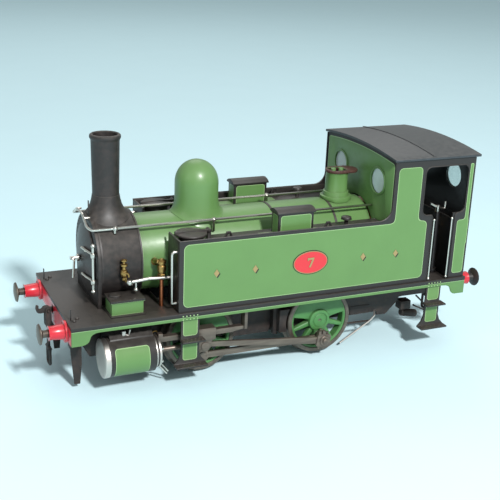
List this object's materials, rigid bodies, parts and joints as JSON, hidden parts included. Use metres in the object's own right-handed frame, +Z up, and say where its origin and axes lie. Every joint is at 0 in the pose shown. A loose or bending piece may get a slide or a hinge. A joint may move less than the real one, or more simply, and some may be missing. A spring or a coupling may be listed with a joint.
{
  "type": "live steam locomotive model",
  "caption": "Side tank dock shunting steam locomotive model for 45 mm track, with outside cylinders, coupled wheels and an enclosed cab.",
  "frame": {"origin": "bottom centre of the engine: below the middle of its length over buffers, at the lowest point of the wheel flanges", "axes": "-X towards the chimney end, +X towards the cab end, +Y towards the engine's right side, +Z up"},
  "size_m": [0.2558, 0.0864, 0.1256],
  "materials": {
    "green_enamel": "satin paint",
    "black_paint": "satin paint",
    "red_paint": "gloss paint",
    "bright_steel": "turned and polished",
    "blackened_steel": "oiled and weathered",
    "wheel_green": "satin paint",
    "copper": "drawn tube",
    "brass": "cast and polished",
    "window_glass": "clear",
    "gilt": "gilt transfer"
  },
  "bodies": {
    "chassis": {"frame_plate_left": "blackened_steel", "frame_plate_right": "blackened_steel", "frame_stretcher": "blackened_steel", "front_buffer_beam": "red_paint", "rear_buffer_beam": "red_paint", "footplate": "black_paint", "front_step_left": "black_paint", "front_step_right": "black_paint", "rear_step_left": "black_paint", "rear_step_right": "black_paint", "draw_hook_front": "blackened_steel", "draw_hook_rear": "blackened_steel", "cylinder_left": "green_enamel", "cylinder_right": "green_enamel", "slide_bar_left": "blackened_steel", "slide_bar_right": "blackened_steel", "boiler_cladding": "green_enamel", "boiler_shell": "copper", "gas_burner": "brass", "gas_tank": "brass", "smokebox": "black_paint", "chimney": "black_paint", "dome_cover": "green_enamel", "safety_valve_cover": "green_enamel", "boiler_handrail": "bright_steel", "side_tank_left": "green_enamel", "side_tank_right": "green_enamel", "sandbox_left": "green_enamel", "sandbox_right": "green_enamel", "feed_pipe_left": "brass", "feed_pipe_right": "brass", "cab": "green_enamel", "handbrake_column": "black_paint"},
    "driving_wheelset": {"driving_axle": "bright_steel", "driving_wheel_left": "wheel_green", "driving_wheel_right": "wheel_green"},
    "leading_wheelset": {"leading_axle": "bright_steel", "leading_wheel_left": "wheel_green", "leading_wheel_right": "wheel_green"},
    "coupling_rod_left": {"coupling_rod_left": "blackened_steel"},
    "coupling_rod_right": {"coupling_rod_right": "blackened_steel"},
    "connecting_rod_left": {"connecting_rod_left": "blackened_steel"},
    "connecting_rod_right": {"connecting_rod_right": "blackened_steel"},
    "crosshead_left": {"crosshead_left": "blackened_steel"},
    "crosshead_right": {"crosshead_right": "blackened_steel"},
    "brake_gear": {"brake_gear": "blackened_steel"},
    "buffer_head_front_left": {"buffer_head_front_left": "bright_steel"},
    "buffer_head_front_right": {"buffer_head_front_right": "bright_steel"},
    "buffer_head_rear_left": {"buffer_head_rear_left": "blackened_steel"},
    "buffer_head_rear_right": {"buffer_head_rear_right": "blackened_steel"},
    "screw_coupling_front": {"screw_coupling_front": "blackened_steel"},
    "screw_coupling_rear": {"screw_coupling_rear": "blackened_steel"},
    "smokebox_door": {"smokebox_door": "black_paint"},
    "smokebox_dart": {"smokebox_dart": "bright_steel"},
    "cab_roof": {"cab_roof": "black_paint"},
    "filler_lid_left": {"filler_lid_left": "black_paint"},
    "filler_lid_right": {"filler_lid_right": "black_paint"},
    "handbrake_handle": {"handbrake_handle": "bright_steel"},
    "regulator_handle": {"regulator_handle": "bright_steel"},
    "reversing_lever": {"reversing_lever": "bright_steel"}
  },
  "joints": [
    {"name": "driving_wheels_turn", "type": "hinge", "parent": "chassis", "child": "driving_wheelset", "pos_m": [0.0275, 0, 0.02055], "axis": [0, 1, 0], "continuous": true},
    {"name": "leading_wheels_turn", "type": "hinge", "parent": "chassis", "child": "leading_wheelset", "pos_m": [-0.0425, 0, 0.02055], "axis": [0, 1, 0], "continuous": true},
    {"name": "coupling_rod_left_pin", "type": "hinge", "parent": "driving_wheelset", "child": "coupling_rod_left", "pos_m": [0.0275, -0.0286, 0.01138], "axis": [0, 1, 0], "continuous": true},
    {"name": "coupling_rod_right_pin", "type": "hinge", "parent": "driving_wheelset", "child": "coupling_rod_right", "pos_m": [0.03667, 0.0286, 0.02055], "axis": [0, 1, 0], "continuous": true},
    {"name": "crosshead_left_slide", "type": "slide", "parent": "chassis", "child": "crosshead_left", "axis": [1, 0, 0], "range_m": [-0.00965, 0.00869]},
    {"name": "crosshead_right_slide", "type": "slide", "parent": "chassis", "child": "crosshead_right", "axis": [1, 0, 0], "range_m": [-0.01834, 0]},
    {"name": "connecting_rod_left_swing", "type": "hinge", "parent": "crosshead_left", "child": "connecting_rod_left", "pos_m": [-0.0435, -0.0325, 0.0197], "axis": [0, 1, 0], "range_deg": [-14.74, 0]},
    {"name": "connecting_rod_right_swing", "type": "hinge", "parent": "crosshead_right", "child": "connecting_rod_right", "pos_m": [-0.03481, 0.0325, 0.0197], "axis": [0, 1, 0], "range_deg": [-7.38, 7.36]},
    {"name": "brake_gear_swing", "type": "hinge", "parent": "chassis", "child": "brake_gear", "pos_m": [0.0028, 0, 0.0371], "axis": [0, 1, 0], "range_deg": [-1.8, 0]},
    {"name": "buffer_front_left_spring", "type": "slide", "parent": "chassis", "child": "buffer_head_front_left", "axis": [1, 0, 0], "range_m": [0, 0.0026], "stiffness_N_per_m": 400, "springref_m": -0.0005},
    {"name": "buffer_front_right_spring", "type": "slide", "parent": "chassis", "child": "buffer_head_front_right", "axis": [1, 0, 0], "range_m": [0, 0.0026], "stiffness_N_per_m": 400, "springref_m": -0.0005},
    {"name": "buffer_rear_left_spring", "type": "slide", "parent": "chassis", "child": "buffer_head_rear_left", "axis": [-1, 0, 0], "range_m": [0, 0.0035], "stiffness_N_per_m": 400, "springref_m": -0.0005},
    {"name": "buffer_rear_right_spring", "type": "slide", "parent": "chassis", "child": "buffer_head_rear_right", "axis": [-1, 0, 0], "range_m": [0, 0.0035], "stiffness_N_per_m": 400, "springref_m": -0.0005},
    {"name": "screw_coupling_front_swing", "type": "hinge", "parent": "chassis", "child": "screw_coupling_front", "pos_m": [-0.1165, 0, 0.0357], "axis": [0, 1, 0], "range_deg": [-2, 95]},
    {"name": "screw_coupling_rear_swing", "type": "hinge", "parent": "chassis", "child": "screw_coupling_rear", "pos_m": [0.1153, 0, 0.0357], "axis": [0, 1, 0], "range_deg": [-95, 2]},
    {"name": "smokebox_door_hinge", "type": "hinge", "parent": "chassis", "child": "smokebox_door", "pos_m": [-0.09725, -0.0189, 0.0623], "axis": [0, 0, 1], "range_deg": [0, 110]},
    {"name": "smokebox_dart_turn", "type": "hinge", "parent": "smokebox_door", "child": "smokebox_dart", "pos_m": [-0.09585, 0, 0.0623], "axis": [1, 0, 0], "range_deg": [0, 90]},
    {"name": "cab_roof_lift", "type": "slide", "parent": "chassis", "child": "cab_roof", "axis": [0, 0, 1], "range_m": [0, 0.03]},
    {"name": "filler_lid_left_hinge", "type": "hinge", "parent": "chassis", "child": "filler_lid_left", "pos_m": [-0.04, -0.0275, 0.0799], "axis": [0, 1, 0], "range_deg": [0, 100]},
    {"name": "filler_lid_right_hinge", "type": "hinge", "parent": "chassis", "child": "filler_lid_right", "pos_m": [-0.04, 0.0275, 0.0799], "axis": [0, 1, 0], "range_deg": [0, 100]},
    {"name": "handbrake_handle_turn", "type": "hinge", "parent": "chassis", "child": "handbrake_handle", "pos_m": [0.0985, -0.026, 0.0785], "axis": [0, 0, 1], "continuous": true},
    {"name": "regulator_handle_turn", "type": "hinge", "parent": "chassis", "child": "regulator_handle", "pos_m": [0.0665, 0, 0.0735], "axis": [1, 0, 0], "range_deg": [0, 70]},
    {"name": "reversing_lever_swing", "type": "hinge", "parent": "chassis", "child": "reversing_lever", "pos_m": [0.0719, 0.031, 0.0435], "axis": [0, 1, 0], "range_deg": [-14, 14]}
  ],
  "couplings": [
    {"joint": "leading_wheels_turn", "follows": "driving_wheels_turn", "ratio": 1},
    {"joint": "coupling_rod_left_pin", "follows": "driving_wheels_turn", "ratio": -1},
    {"joint": "coupling_rod_right_pin", "follows": "driving_wheels_turn", "ratio": -1}
  ]
}
